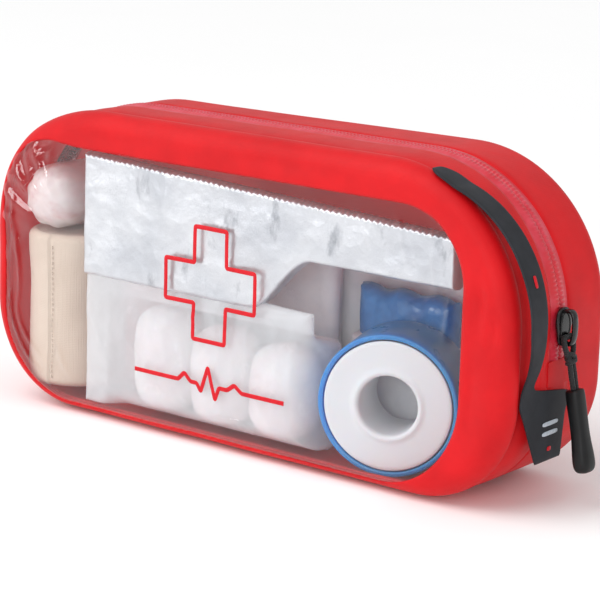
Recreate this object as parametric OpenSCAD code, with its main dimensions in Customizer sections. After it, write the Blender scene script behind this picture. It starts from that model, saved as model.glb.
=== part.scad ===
/* [Bag] */
// Length of the bag, end to end
bag_l = 246; // [210:1:300]
// Depth of the bag, front to back
bag_d = 66; // [60:1:84]
// Height of the bag
bag_h = 120; // [112:1:150]
// Radius of the outline's top corners
corner_top = 56; // [46:1:66]
// Radius of the outline's bottom corners
corner_bottom = 40; // [30:1:46]
// Radius of the rolled edges at the front and back
edge_r = 6; // [4:0.5:8]
// Thickness of the coated fabric
fabric = 1.2; // [0.8:0.1:1.6]

/* [Window] */
// Red border left of the window
border_left = 10.5; // [9:0.5:16]
// Red border right of the window
border_right = 19.5; // [12:0.5:28]
// Red border under the window
border_bottom = 8; // [8:0.5:14]
// Red border over the window
border_top = 14.5; // [10:0.5:20]
// Radius of the window's top corners
window_top_r = 28; // [16:1:34]
// Radius of the window's bottom corners
window_bottom_r = 34; // [20:1:40]
// Thickness of the clear film
film = 0.4; // [0.2:0.1:0.6]
// Overall size of the printed plus
plus_size = 43; // [30:1:50]
// Width of the printed lines
print_line = 1.6; // [1:0.1:2.4]

/* [Zip] */
// Height at which the zip ends on both sides
zip_end = 52; // [48:1:56]
// Width of the open strip that holds the zip
zip_w = 10; // [8:0.5:14]
// Width of one row of zip teeth
teeth_w = 2.4; // [1.8:0.1:3]
// Height of the zip teeth
teeth_h = 2.2; // [1.6:0.1:3]
// Thickness of the zip tape
tape_t = 0.6; // [0.4:0.1:0.9]
// How far the rear half folds back, in degrees
fold_angle = 30; // [15:1:34]

/* [Slider] */
// Length of the slider along the zip
slider_l = 13.6; // [11:0.2:15]
// Width of the slider across the zip
slider_w = 10; // [8:0.5:12]
// Thickness of the slider's plates
slider_t = 1.6; // [1.2:0.1:2]
// Radius of the pull cord
cord_r = 1; // [0.8:0.1:1.2]
// Length of the moulded grip
grip_l = 30; // [20:1:34]
// Largest radius of the grip
grip_r = 4.4; // [3.6:0.1:5]
// Lean of the puller away from the bag, in degrees
puller_lean = 12; // [4:1:14]

/* [Strap] */
// Width of the carry strap
strap_w = 10.5; // [8:0.5:12]
// Thickness of the carry strap
strap_t = 1.2; // [0.8:0.1:1.6]
// Room for a finger or a hook under the strap
strap_gap = 6; // [4.6:0.1:8]

/* [Tape spool] */
// Outer diameter of the blue cover
cover_d = 53; // [44:1:56]
// Width of the covered spool
spool_w = 25; // [18:1:26]
// Diameter of the hole through the hub
spool_bore = 22; // [14:1:26]
// Thickness of the cover's wall
cover_wall = 2; // [1.2:0.1:2.6]
// How far the spool turns out to the right, in degrees
spool_turn = 19; // [0:1:24]

/* [Contents] */
// Diameter of the elastic bandage
bandage_d = 40; // [30:1:42]
// Height of the elastic bandage
bandage_h = 62; // [50:1:64]
// Diameter of the wrapped gauze that lies on it
wrap_d = 27; // [20:1:28]
// Diameter of the standing gauze rolls
gauze_d = 28; // [22:1:28]
// Height of the tallest gauze roll
gauze_h = 41; // [34:1:44]
// Length of the foil blanket's packet
packet_l = 172; // [120:1:176]
// Thickness of the foil blanket's packet
packet_t = 8.5; // [5:0.5:9]

/* [Hidden] */
$fn = 96;

half_l = bag_l / 2;
half_d = bag_d / 2;
half_zip = zip_w / 2;
roll_start = half_d - edge_r;
gap = 0.3; // room between pieces that aren't joined
slit = 0.8; // half the slit between the rows of teeth, for the slider's post
top_cx = half_l - corner_top;
top_cz = bag_h - corner_top;
bottom_cx = half_l - corner_bottom;
tape_in = 0.4; // the tape lies this far below the fabric's face
teeth_in = tape_in + tape_t;
far = bag_l + bag_h;

// the rear half turns about the line through the zip's two ends
fold_rise = 10; // its back starts this far over that line
fold_drop = roll_start * tan(fold_angle + 3);

red = "#e02d30";
zip_red = "#cc4458";
charcoal = "#33363b";
black = "#16171a";

// ---- frame: shapes are drawn lying on their back and stood up, front to -Y ----

module stand() rotate([90, 0, 0]) children();

// rounded outline of the bag, a distance inside its face
module outline(inset = 0) {
    for (side = [-1, 1]) {
        translate([side * top_cx, top_cz]) circle(r = corner_top - inset);
        translate([side * bottom_cx, corner_bottom]) circle(r = corner_bottom - inset);
    }
    polygon([
        [-bottom_cx, inset], [bottom_cx, inset], [half_l - inset, corner_bottom],
        [half_l - inset, top_cz], [top_cx, bag_h - inset], [-top_cx, bag_h - inset],
        [-half_l + inset, top_cz], [-half_l + inset, corner_bottom]
    ]);
}

// a cross-section, drawn as [distance out from the face, distance to the front],
// carried round the top of the bag from one zip end to the other
module over_top(start_z = zip_end) {
    for (side = [0, 1])
        mirror([side, 0, 0]) {
            translate([half_l, top_cz, 0]) rotate([90, 0, 0])
                linear_extrude(top_cz - start_z) children();
            translate([top_cx, top_cz, 0]) rotate_extrude(angle = 90)
                translate([corner_top, 0]) children();
        }
    translate([-top_cx, bag_h, 0]) rotate([90, 0, 90]) linear_extrude(2 * top_cx) children();
}

// the same, carried under the bottom
module under_bottom(end_z = zip_end) {
    for (side = [0, 1])
        mirror([side, 0, 0]) {
            if (end_z > corner_bottom)
                translate([half_l, end_z, 0]) rotate([90, 0, 0])
                    linear_extrude(end_z - corner_bottom) children();
            translate([bottom_cx, corner_bottom, 0]) rotate(-90) rotate_extrude(angle = 90)
                translate([corner_bottom, 0]) children();
        }
    mirror([0, 1, 0]) translate([-bottom_cx, 0, 0]) rotate([90, 0, 90])
        linear_extrude(2 * bottom_cx) children();
}

// rectangular section between two depths below the face and two distances to the front
module strip(depth_a, depth_b, front_a, front_b) {
    translate([-depth_b, front_a]) square([depth_b - depth_a, front_b - front_a]);
}

module edge_roll() {
    translate([-edge_r, roll_start]) intersection() {
        difference() {
            circle(r = edge_r);
            circle(r = edge_r - fabric);
        }
        square(edge_r);
    }
}

// a solid through the whole length, from its side view: [distance to the front, height]
module side_prism(points) {
    translate([-far / 2, 0, 0]) rotate([90, 0, 90]) linear_extrude(far)
        polygon([for (p = points) [p[1], p[0]]]);
}

function unit(v) = v / norm(v);

// across a line of points at one of them, as long as a mitred joint needs
function across(points, i) = let (
    before = unit(i == 0 ? points[1] - points[0] : points[i] - points[i - 1]),
    after = i == len(points) - 1 ? before : unit(points[i + 1] - points[i]),
    middle = unit(before + after)
) [-middle[1], middle[0]] / (middle * before);

// a line of points drawn with a width
module ribbon(points, width) {
    last = len(points) - 1;
    polygon([
        for (i = [0 : last]) points[i] + across(points, i) * width / 2,
        for (i = [last : -1 : 0]) points[i] - across(points, i) * width / 2
    ]);
}

module rod(from, to, radius) {
    step = to - from;
    translate(from) rotate([0, acos(step[2] / norm(step)), atan2(step[1], step[0])])
        cylinder(h = norm(step), r = radius);
}

// ---- bag: front ----

module window_outline(grow = 0) {
    left = -half_l + border_left;
    right = half_l - border_right;
    top = bag_h - border_top;
    for (c = [[left, 1], [right, -1]]) {
        translate([c[0] + c[1] * window_top_r, top - window_top_r])
            circle(r = window_top_r + grow);
        translate([c[0] + c[1] * window_bottom_r, border_bottom + window_bottom_r])
            circle(r = window_bottom_r + grow);
    }
    polygon([
        [left + window_bottom_r, border_bottom - grow],
        [right - window_bottom_r, border_bottom - grow],
        [right + grow, border_bottom + window_bottom_r], [right + grow, top - window_top_r],
        [right - window_top_r, top + grow], [left + window_top_r, top + grow],
        [left - grow, top - window_top_r], [left - grow, border_bottom + window_bottom_r]
    ]);
}

module front_frame() {
    color(red) stand() {
        over_top(corner_bottom) edge_roll();
        under_bottom(corner_bottom) edge_roll();
        translate([0, 0, half_d - fabric]) linear_extrude(fabric) difference() {
            outline(edge_r);
            window_outline();
        }
    }
}

window_lap = 1; // the film reaches this far behind the frame
film_face = half_d - fabric; // the film's outer face, measured from the middle

module clear_window() {
    color("#e8eef0", 0.4) stand() translate([0, 0, film_face - film])
        linear_extrude(film) intersection() {
            window_outline(window_lap);
            outline(edge_r);
        }
}

print_t = 0.2;
plus_center = [-9.5, 62];
plus_arm = plus_size * 0.36;

module plus_shape(grow) {
    square([plus_size + 2 * grow, plus_arm + 2 * grow], center = true);
    square([plus_arm + 2 * grow, plus_size + 2 * grow], center = true);
}

module printed_plus() {
    color(red) stand() translate([plus_center[0], plus_center[1], film_face])
        linear_extrude(print_t) difference() {
            plus_shape(print_line / 2);
            plus_shape(-print_line / 2);
        }
}

pulse_start = [-46, 23.5];

module printed_pulse() {
    beat = [
        [0, 0], [22, 0], [25, 3], [28, 0], [31, 0], [33, -3], [36.5, 7], [40, -5], [42, 0],
        [46, 0], [49.5, 2.5], [53, 0], [73, 0]
    ];
    color(red) stand() translate([pulse_start[0], pulse_start[1], film_face])
        linear_extrude(print_t) ribbon(beat, print_line);
}

// ---- bag: sides ----

module front_gusset() {
    color(red) stand() over_top() strip(0, fabric, half_zip, roll_start);
}

// side view of what stays still below the fold, as [distance to the front, height]
fixed_side = [
    [far, zip_end], [0, zip_end], [-roll_start, zip_end - fold_drop],
    [-far, zip_end - fold_drop], [-far, -far], [far, -far]
];
// side view of what folds back with the rear half
moving_side = [
    [-slit, zip_end + gap], [-roll_start + edge_r, zip_end + gap],
    [-roll_start, zip_end + fold_rise], [-far, zip_end + fold_rise], [-far, far], [-slit, far]
];
// side view of the soft fold between them
fold_side = [
    [-half_zip - gap, zip_end - gap / 3], [-roll_start + edge_r, zip_end - gap / 3],
    [-roll_start - gap, zip_end + fold_rise - gap], [-far, zip_end + fold_rise - gap],
    [-far, zip_end - fold_drop + gap], [-roll_start - gap, zip_end - fold_drop + gap],
    [-half_zip - gap, zip_end - (half_zip + gap) * tan(fold_angle + 3) + gap]
];

module base_gusset() {
    color(red) stand() intersection() {
        under_bottom() strip(0, fabric, -roll_start, roll_start);
        side_prism(fixed_side);
    }
}

module rear_shell() {
    mirror([0, 0, 1]) {
        over_top(corner_bottom) edge_roll();
        under_bottom(corner_bottom) edge_roll();
        translate([0, 0, half_d - fabric]) linear_extrude(fabric) outline(edge_r);
    }
}

module rear_panel_lower() {
    color(red) stand() intersection() {
        rear_shell();
        side_prism(fixed_side);
    }
}

module rear_panel_upper() {
    color(red) stand() intersection() {
        rear_shell();
        side_prism(moving_side);
    }
}

module rear_gusset() {
    color(red) stand() intersection() {
        over_top() strip(0, fabric, -roll_start, -half_zip);
        side_prism(moving_side);
    }
}

module fold_panel() {
    color("#c8272b") stand() intersection() {
        union() {
            rear_shell();
            over_top(corner_bottom) strip(0, fabric, -roll_start, -half_zip);
            under_bottom(corner_bottom) strip(0, fabric, -roll_start, -half_zip);
        }
        side_prism(fold_side);
    }
}

// ---- zip ----

module zip_tape_front() {
    color(zip_red) stand() over_top() strip(tape_in, tape_in + tape_t, slit, half_zip);
}

module zip_teeth_front() {
    color(zip_red) stand() over_top() strip(teeth_in, teeth_in + teeth_h, slit, slit + teeth_w);
}

module zip_tape_rear() {
    color(zip_red) stand() over_top(zip_end + gap)
        strip(tape_in, tape_in + tape_t, -half_zip, -slit);
}

module zip_teeth_rear() {
    color(zip_red) stand() over_top(zip_end + gap)
        strip(teeth_in, teeth_in + teeth_h, -slit - teeth_w, -slit);
}

patch_h = 9; // welded patch under each end of the zip
patch_t = 0.4;

module zip_end_patches() {
    color("#d8303a") stand() for (side = [-1, 1])
        translate([side * (half_l + patch_t / 2), zip_end - patch_h / 2, 0])
            cube([patch_t, patch_h, zip_w + 4], center = true);
}

// ---- slider and puller; the slider runs round the top right corner ----

plate_gap = 0.5; // room between the slider's plates and the zip
slider_turn = slider_l / corner_top * 180 / PI;
bridge_room = 2.8; // room under the bridge for the cord
bridge_t = 1.5;
bridge_w = 3;
post_w = 2 * slit - 2 * gap;
post_turn = 2.4; // angles round the corner, in degrees, that the post and a leg take up
leg_turn = 1.4;
plate_top = plate_gap + slider_t;
plate_in = teeth_in + teeth_h + plate_gap + gap / 2;

// a cross-section carried round the top right corner, between two angles
module on_corner(from, to) {
    translate([top_cx, top_cz, 0]) rotate(from) rotate_extrude(angle = to - from)
        translate([corner_top, 0]) children();
}

module slider_body() {
    color(black) stand() {
        on_corner(-slider_turn / 2, slider_turn / 2) {
            strip(-plate_top, -plate_gap, -slider_w / 2, slider_w / 2);
            strip(plate_in, plate_in + slider_t, -slider_w / 2, slider_w / 2);
        }
        on_corner(-slider_turn / 2, -slider_turn / 2 + post_turn)
            strip(-plate_top, plate_in + slider_t, -post_w / 2, post_w / 2);
    }
}

bridge_turn = slider_turn - 2;

module slider_bridge() {
    bridge_low = plate_top + bridge_room;
    color(black) stand() {
        on_corner(-bridge_turn / 2, bridge_turn / 2)
            strip(-bridge_low - bridge_t, -bridge_low, -bridge_w / 2, bridge_w / 2);
        for (start = [-bridge_turn / 2, bridge_turn / 2 - leg_turn])
            on_corner(start, start + leg_turn)
                strip(-bridge_low - bridge_t, -plate_top, -bridge_w / 2, bridge_w / 2);
    }
}

// the cord turns in the bridge's eye, just above its lower leg
eye_out = corner_top + plate_top + bridge_room / 2;
eye_angle = -bridge_turn / 2 + leg_turn + (cord_r + gap) / eye_out * 180 / PI;
eye = [top_cx + eye_out * cos(eye_angle), 0, top_cz + eye_out * sin(eye_angle)];
down = [sin(puller_lean), 0, -cos(puller_lean)];
eye_half = bridge_w / 2 + cord_r + gap;
spread_at = 4.6; // the strands clear the bridge before they close up
knot_at = 7.4; // distances along the puller, from the eye
grip_at = 18.5;
knot_r = 2.4;
strand_half = cord_r + 0.1;

module pull_cord() {
    side = [0, 1, 0];
    joint_r = cord_r + 0.05; // rounds the cord's turns
    color(black) {
        rod(eye - eye_half * side, eye + eye_half * side, cord_r);
        for (s = [-1, 1]) {
            turn = eye + s * eye_half * side;
            close = eye + knot_at * down + s * strand_half * side;
            for (p = [turn, turn + spread_at * down]) translate(p) sphere(r = joint_r);
            rod(turn, turn + spread_at * down, cord_r);
            rod(turn + spread_at * down, close, cord_r);
            rod(close, eye + grip_at * down + s * strand_half * side, cord_r);
        }
        translate(eye + knot_at * down) sphere(r = knot_r);
    }
}

module pull_grip() {
    neck_r = grip_r * 0.72;
    flare = grip_l * 0.45;
    color(black) translate(eye + grip_at * down) rotate([0, 180 - puller_lean, 0]) {
        cylinder(h = grip_l - flare, r = neck_r);
        translate([0, 0, grip_l - flare]) cylinder(h = flare - grip_r, r1 = neck_r, r2 = grip_r);
        translate([0, 0, grip_l - grip_r]) sphere(r = grip_r);
    }
}

// ---- carry strap ----

strap_front = 29.5; // distance to the front of the strap's front edge
strap_back = strap_front - strap_w;
strap_lift = 0.3; // the pads lie this far off the fabric
strap_top_angle = 60; // the arch starts here on the top right corner
pad_turn = 12; // length of the pointed pad beyond it, in degrees
pad_open = 6; // length over which the pad's point widens
tag_top = zip_end - 6;
strap_a = [top_cx + (corner_top + strap_lift) * cos(strap_top_angle),
    top_cz + (corner_top + strap_lift) * sin(strap_top_angle)];
strap_b = [half_l + strap_lift, tag_top];
strap_chord = strap_a - strap_b;
strap_out = [strap_chord[1], -strap_chord[0]] / norm(strap_chord);
strap_mid = (strap_a + strap_b) / 2;
mid_out = [top_cx, top_cz] - strap_mid;
face_rise = corner_top - norm(mid_out);
strap_rise = face_rise + strap_gap;
strap_r = (pow(norm(strap_chord) / 2, 2) + pow(strap_rise, 2)) / (2 * strap_rise);
strap_center = strap_mid + (strap_rise - strap_r) * strap_out;

module sector(center, radius, thickness, keep) {
    intersection() {
        translate(center) difference() {
            circle(r = radius + thickness);
            circle(r = radius);
        }
        polygon(keep);
    }
}

module strap_arch(radius, thickness) {
    sector(strap_center, radius, thickness, [
        strap_a, strap_b, strap_b + [far, -far / 8],
        strap_mid + far * strap_out, strap_a + [far / 60, far]
    ]);
}

tag_bottom = 16;
tag_front = 25.5; // distance to the front of the tag's front corner
tag_w = 33.5; // width of the tag at its widest
tag_cut = 12; // the lower corner at the front is cut off by this much
tag_flat = 15.5; // width of the tag's lower edge
neck_w = 6; // width of the strap where it joins the tag
neck_step = 1.5; // the tag's shoulders start this far from the neck
neck_end = tag_top + 24; // the strap has its full width above this height

// the strap's and the tag's side view, as [height, distance to the front]
strap_side = [
    [tag_top - far, tag_front - neck_step - neck_w], [tag_top - far, tag_front - neck_step],
    [tag_top, tag_front - neck_step], [neck_end, strap_front], [far, strap_front],
    [far, strap_back], [neck_end, strap_back], [tag_top, tag_front - neck_step - neck_w]
];
tag_side = [
    [tag_top + strap_t, tag_front - neck_step - neck_w],
    [tag_top + strap_t, tag_front - neck_step],
    [tag_top - tag_w / 5, tag_front], [tag_bottom, tag_front - tag_cut],
    [tag_bottom, tag_front - tag_cut - tag_flat],
    [tag_top - tag_cut, tag_front - tag_cut - tag_flat - neck_step],
    [tag_top - tag_w / 5, tag_front - tag_w],
    [tag_top - neck_step, tag_front - neck_w - 2 * neck_step]
];

// a flat shape in the side view, through a length along the bag
module from_side(points, length) {
    rotate([90, 0, 90]) linear_extrude(length) polygon(points);
}

module carry_strap() {
    pad_end = strap_top_angle + pad_turn;
    pad_x = top_cx + corner_top * cos(pad_end);
    color(charcoal) stand() {
        intersection() {
            translate([0, 0, strap_back]) linear_extrude(strap_w) strap_arch(strap_r, strap_t);
            from_side(strap_side, far);
        }
        // pointed pad on the corner
        intersection() {
            translate([0, 0, strap_back]) linear_extrude(strap_w)
                sector([top_cx, top_cz], corner_top + strap_lift, strap_t, [
                    [top_cx, top_cz],
                    [top_cx + far * cos(strap_top_angle), top_cz + far * sin(strap_top_angle)],
                    [top_cx + far * cos(pad_end), top_cz + far * sin(pad_end)]
                ]);
            rotate([-90, 0, 0]) translate([0, -strap_front, 0]) linear_extrude(far)
                polygon([
                    [pad_x, strap_w * 0.45], [pad_x + pad_open, 0], [half_l, 0],
                    [half_l, strap_w], [pad_x + pad_open, strap_w]
                ]);
        }
        // flat tag that hangs from the strap's lower end
        translate([half_l + strap_lift, 0, 0]) from_side(tag_side, strap_t);
    }
}

mark_t = 0.3;
mark_w = 1.6; // width of the bars and dashes
mark_gap = 1.9; // room between the two bars
bar_l = 10;
dash_l = 2.4;
dash_angle = 18; // the dash on the strap starts this far round its arch
dash_turn = 5;

module strap_marks() {
    face = half_l + strap_lift + strap_t + mark_t / 2;
    middle = tag_front - tag_cut - tag_flat / 2;
    low_bar = tag_bottom + bar_l + mark_w / 2;
    color("#b8c4d2") stand() for (z = [low_bar, low_bar + mark_w + mark_gap])
        translate([face, z, middle]) cube([mark_t, mark_w, bar_l], center = true);
    color(red) stand() {
        translate([face, tag_bottom + bar_l / 2, middle])
            cube([mark_t, mark_w, dash_l], center = true);
        translate([strap_center[0], strap_center[1], strap_front - strap_w / 2 - mark_w / 2])
            rotate(dash_angle) rotate_extrude(angle = dash_turn)
                translate([strap_r + strap_t, 0]) square([mark_t, mark_w]);
    }
}

// ---- tape spool in its cover, standing behind the window ----

cover_r = cover_d / 2;
spool_r = cover_r - cover_wall - gap;
hub_r = spool_bore / 2 + 1.4;
flange_t = 1.4;
rear_flange = 3.2; // distance of the rear flange's front face from the cover's rear
cover_back = 0.4; // thickness of the cover's rear wall
winding_gap = 3; // the winding ends this far inside the flanges' edge
spool_x = 66;
// the cover's left edge stands just behind the film
spool_front = [spool_x, -half_d + fabric + film + 0.8 + cover_r * sin(spool_turn), fabric + gap + cover_r];

// stands a shape that is drawn along its axis, front end at z = 0, in the spool's place
module at_spool() {
    translate(spool_front) rotate([0, 0, spool_turn]) rotate([90, 0, 0])
        mirror([0, 0, 1]) children();
}

module spool_cover() {
    color("#1a6fb8") at_spool() difference() {
        cylinder(h = spool_w, r = cover_r);
        translate([0, 0, -cover_back]) cylinder(h = spool_w, r = cover_r - cover_wall);
        cylinder(h = far, r = hub_r + cover_wall);
    }
}

module tape_spool() {
    color("#e4e4e8") at_spool() difference() {
        union() {
            cylinder(h = flange_t, r = spool_r);
            cylinder(h = spool_w - cover_back - 2 * gap, r = hub_r);
            translate([0, 0, spool_w - rear_flange]) cylinder(h = flange_t, r = spool_r - 1);
        }
        translate([0, 0, -spool_w]) cylinder(h = far, r = spool_bore / 2);
    }
}

module tape_winding() {
    color("#e8dfd0") at_spool() translate([0, 0, flange_t]) difference() {
        cylinder(h = spool_w - rear_flange - flange_t, r = spool_r - winding_gap);
        translate([0, 0, -spool_w]) cylinder(h = far, r = hub_r);
    }
}

// ---- soft contents ----

room_front = -half_d + fabric + film + gap; // the foremost place for contents
room_rear = half_d - fabric - gap;
floor_z = fabric + gap;
soft_z = edge_r * 0.7; // what stands close behind the window clears the rolled edge
bandage_x = -half_l + edge_r + bandage_d / 2;

rest_gap = 2; // the bandage stands this far from the film and the rolled edge

// the roll is pressed into the bag's bottom left corner
module elastic_bandage() {
    color("#cdbfa8") intersection() {
        translate([bandage_x, room_front + rest_gap + bandage_d / 2, soft_z + rest_gap])
            cylinder(h = bandage_h, d = bandage_d);
        stand() translate([0, 0, -half_d]) linear_extrude(bag_d) outline(fabric + gap);
    }
}

module wrapped_gauze() {
    r = wrap_d / 2;
    length = 28;
    lean_left = 4;
    color("#eceae8")
        translate([bandage_x - lean_left, room_front + r, soft_z + rest_gap + bandage_h + gap + r])
        rotate([-90, 0, 0]) {
            sphere(r = r);
            cylinder(h = length, r = r);
            translate([0, 0, length]) sphere(r = r);
        }
}

packet_low = floor_z + max(cover_d, soft_z + gauze_h) + 0.5;
packet_left = bandage_x + bandage_d / 2 + 1;
packet_drop = 8; // the packet's top edge falls this much to the right
packet_fold = 22; // its lower right part is folded up by this much

module foil_blanket() {
    packet_right = packet_left + packet_l;
    packet_top = bag_h - border_top - 1;
    color("#dfe3e7") translate([0, room_front + packet_t, 0]) rotate([90, 0, 0])
        linear_extrude(packet_t) polygon([
            [packet_left, packet_low], [packet_left + packet_l / 2, packet_low],
            [packet_left + packet_l * 2 / 3, packet_low + packet_fold],
            [packet_right, packet_low + packet_fold],
            [packet_right, packet_top - packet_drop], [packet_left, packet_top]
        ]);
}

gauze_r = gauze_d / 2;
gauze_pitch = gauze_d + 1;
gauze_x = -43;
gauze_step = 2.5; // each roll is this much shorter than the one on its left
pouch_film = 0.3;
pouch_room = 0.3;

module gauze_roll(index, height) {
    r = gauze_r;
    color("#f1f0f0") translate([
        gauze_x + index * gauze_pitch, room_front + pouch_film + pouch_room + r,
        soft_z + pouch_film + pouch_room
    ]) {
        translate([0, 0, r]) sphere(r = r);
        translate([0, 0, r]) cylinder(h = height - 2 * r, r = r);
        translate([0, 0, height - r]) sphere(r = r);
    }
}

module gauze_roll_left() { gauze_roll(0, gauze_h); }

module gauze_roll_middle() { gauze_roll(1, gauze_h - gauze_step); }

module gauze_roll_right() { gauze_roll(2, gauze_h - 2 * gauze_step); }

module pouch_shape(inset) {
    r = gauze_r + pouch_film + pouch_room - inset;
    height = gauze_h + 2 * (pouch_film + pouch_room) - 2 * inset;
    translate([gauze_x, room_front + r + inset, soft_z + inset]) {
        cylinder(h = height, r = r);
        translate([2 * gauze_pitch, 0, 0]) cylinder(h = height, r = r);
        translate([0, -r, 0]) cube([2 * gauze_pitch, 2 * r, height]);
    }
}

module gauze_pouch() {
    color("#f4f6f8", 0.5) difference() {
        pouch_shape(0);
        pouch_shape(pouch_film);
    }
}

// flat packs that stand behind: [left end, front], and [length, thickness, height]
gloves_at = [28, 7];
gloves_size = [44, 12, 62];
dressing_at = [-58, 1];
dressing_size = [80, 10, 86];
plasters_at = [-54, 11.5];
plasters_size = [72, 5, 74];

module pack(at, size) {
    translate([at[0], at[1], floor_z]) cube(size);
}

module nitrile_gloves() {
    color("#2a6aae") pack(gloves_at, gloves_size);
}

module dressing_pack() {
    color("#f0efec") pack(dressing_at, dressing_size);
}

module plaster_pack() {
    color("#e6e2da") pack(plasters_at, plasters_size);
}

front_frame();
clear_window();
printed_plus();
printed_pulse();
front_gusset();
base_gusset();
rear_panel_lower();
fold_panel();
zip_tape_front();
zip_teeth_front();
zip_end_patches();
carry_strap();
strap_marks();
rear_panel_upper();
rear_gusset();
zip_tape_rear();
zip_teeth_rear();
slider_body();
slider_bridge();
pull_cord();
pull_grip();
spool_cover();
tape_spool();
tape_winding();
elastic_bandage();
wrapped_gauze();
foil_blanket();
gauze_pouch();
gauze_roll_left();
gauze_roll_middle();
gauze_roll_right();
nitrile_gloves();
dressing_pack();
plaster_pack();
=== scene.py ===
"""Soft red first aid pouch with a clear window, shown with its contents.

Shapes are worked out in millimetres and made in metres. X runs along the bag,
-Y is its front and Z is up, as in the CAD frame.
"""
from math import atan2, copysign, cos, degrees, exp, hypot, inf, pi, radians, sin, sqrt

import bmesh
import bpy
import numpy as np
from mathutils import Matrix, Vector, noise


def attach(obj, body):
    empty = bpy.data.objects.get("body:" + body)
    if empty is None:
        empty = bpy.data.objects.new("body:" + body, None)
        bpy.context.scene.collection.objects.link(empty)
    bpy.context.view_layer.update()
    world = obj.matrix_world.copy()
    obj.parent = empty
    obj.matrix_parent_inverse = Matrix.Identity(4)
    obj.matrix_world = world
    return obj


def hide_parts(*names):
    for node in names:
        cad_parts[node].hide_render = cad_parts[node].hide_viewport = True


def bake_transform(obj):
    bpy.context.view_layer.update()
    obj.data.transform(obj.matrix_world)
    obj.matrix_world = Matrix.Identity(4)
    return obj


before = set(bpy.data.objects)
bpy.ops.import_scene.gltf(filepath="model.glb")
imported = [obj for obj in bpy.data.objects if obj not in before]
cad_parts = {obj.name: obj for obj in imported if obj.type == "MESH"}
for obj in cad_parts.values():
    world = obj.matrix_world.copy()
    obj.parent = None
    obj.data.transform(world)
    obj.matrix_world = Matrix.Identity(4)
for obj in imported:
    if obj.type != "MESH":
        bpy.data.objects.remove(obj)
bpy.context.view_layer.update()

MM = 0.001


def add(name, data):
    obj = bpy.data.objects.new(name, data)
    bpy.context.scene.collection.objects.link(obj)
    return obj


# ---- camera ----

AZIMUTH = radians(37.88)
ELEVATION = radians(12.78)
ROLL = radians(-1.62)
DISTANCE = 891
FOCAL_PX = 2340
FRAME_PX = 600
TARGET = Vector((0, 0, 60))
AIM_RIGHT, AIM_DOWN = 6.5, 6.9


def make_camera():
    forward = Vector((-sin(AZIMUTH) * cos(ELEVATION),
                      cos(AZIMUTH) * cos(ELEVATION), -sin(ELEVATION)))
    right = Vector((cos(AZIMUTH), sin(AZIMUTH), 0))
    up = right.cross(forward)
    place = TARGET - forward * DISTANCE
    forward = (TARGET + right * AIM_RIGHT - up * AIM_DOWN - place).normalized()
    right = forward.cross(up).normalized()
    up = right.cross(forward)
    across = right * cos(ROLL) - up * sin(ROLL)
    upward = right * sin(ROLL) + up * cos(ROLL)
    camera = add("camera", bpy.data.cameras.new("camera"))
    camera.data.sensor_width = 36
    camera.data.lens = 36 * FOCAL_PX / FRAME_PX
    camera.data.clip_start = 0.05
    turn = Matrix((across, upward, -forward)).transposed().to_4x4()
    camera.matrix_world = Matrix.Translation(place * MM) @ turn
    bpy.context.scene.camera = camera


make_camera()

# ---- bag sizes, in millimetres, as in part.scad ----

HALF_L, HALF_D, BAG_H = 123, 33, 120
CORNER_TOP, CORNER_BOTTOM = 56, 40
ROLL_R = 8  # radius of the soft rolled edge at the front
REAR_R_LEFT, REAR_R_RIGHT = 13, 6.5  # the rear edge is rounder at the left end
ZIP_END = 52
TOP_CX, TOP_CZ = HALF_L - CORNER_TOP, BAG_H - CORNER_TOP


class Rounded:
    """A rounded rectangle in the bag's front view."""

    def __init__(self, left, right, bottom, top, top_r, bottom_r):
        self.left, self.right, self.bottom, self.top = left, right, bottom, top
        self.top_r, self.bottom_r = top_r, bottom_r

    def stations(self, across=60, arc=36, side=12):
        """(x, z, nx, nz) round it, anticlockwise from the bottom's left end."""
        found = []

        def line(start, end, direction, count):
            for k in range(count):
                t = k / count
                found.append((start[0] + (end[0] - start[0]) * t,
                              start[1] + (end[1] - start[1]) * t, *direction))

        def corner(cx, cz, radius, start):
            for k in range(arc):
                angle = radians(start + 90 * k / arc)
                c, s = cos(angle), sin(angle)
                found.append((cx + radius * c, cz + radius * s, c, s))

        low_l, low_r = self.left + self.bottom_r, self.right - self.bottom_r
        high_l, high_r = self.left + self.top_r, self.right - self.top_r
        low_z, high_z = self.bottom + self.bottom_r, self.top - self.top_r
        line((low_l, self.bottom), (low_r, self.bottom), (0, -1), across)
        corner(low_r, low_z, self.bottom_r, -90)
        line((self.right, low_z), (self.right, high_z), (1, 0), side)
        corner(high_r, high_z, self.top_r, 0)
        line((high_r, self.top), (high_l, self.top), (0, 1), across)
        corner(high_l, high_z, self.top_r, 90)
        line((self.left, high_z), (self.left, low_z), (-1, 0), side)
        corner(low_l, low_z, self.bottom_r, 180)
        return found

    def span(self, z):
        """Left and right limit at a height."""
        r, past = self.top_r, z - self.top + self.top_r
        if z < self.bottom + self.bottom_r:
            r, past = self.bottom_r, self.bottom + self.bottom_r - z
        drop = r - sqrt(max(r * r - min(max(past, 0), r) ** 2, 0))
        return self.left + drop, self.right - drop

    def grown(self, by):
        return Rounded(self.left - by, self.right + by, self.bottom - by, self.top + by,
                       self.top_r + by, self.bottom_r + by)


BAG = Rounded(-HALF_L, HALF_L, 0, BAG_H, CORNER_TOP, CORNER_BOTTOM)
WINDOW = Rounded(-115.5, 103.5, 2.8, 105.5, 28, 36)
BACK_INSET = 14.5
BACK = BAG.grown(-BACK_INSET)


def inset(x, z):
    """Distance inside the bag's outline."""
    r = CORNER_TOP if z > BAG_H / 2 else CORNER_BOTTOM
    qx = abs(x) - HALF_L + r
    qz = abs(z - BAG_H / 2) - BAG_H / 2 + r
    return r - min(max(qx, qz), 0) - hypot(max(qx, 0), max(qz, 0))


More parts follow.
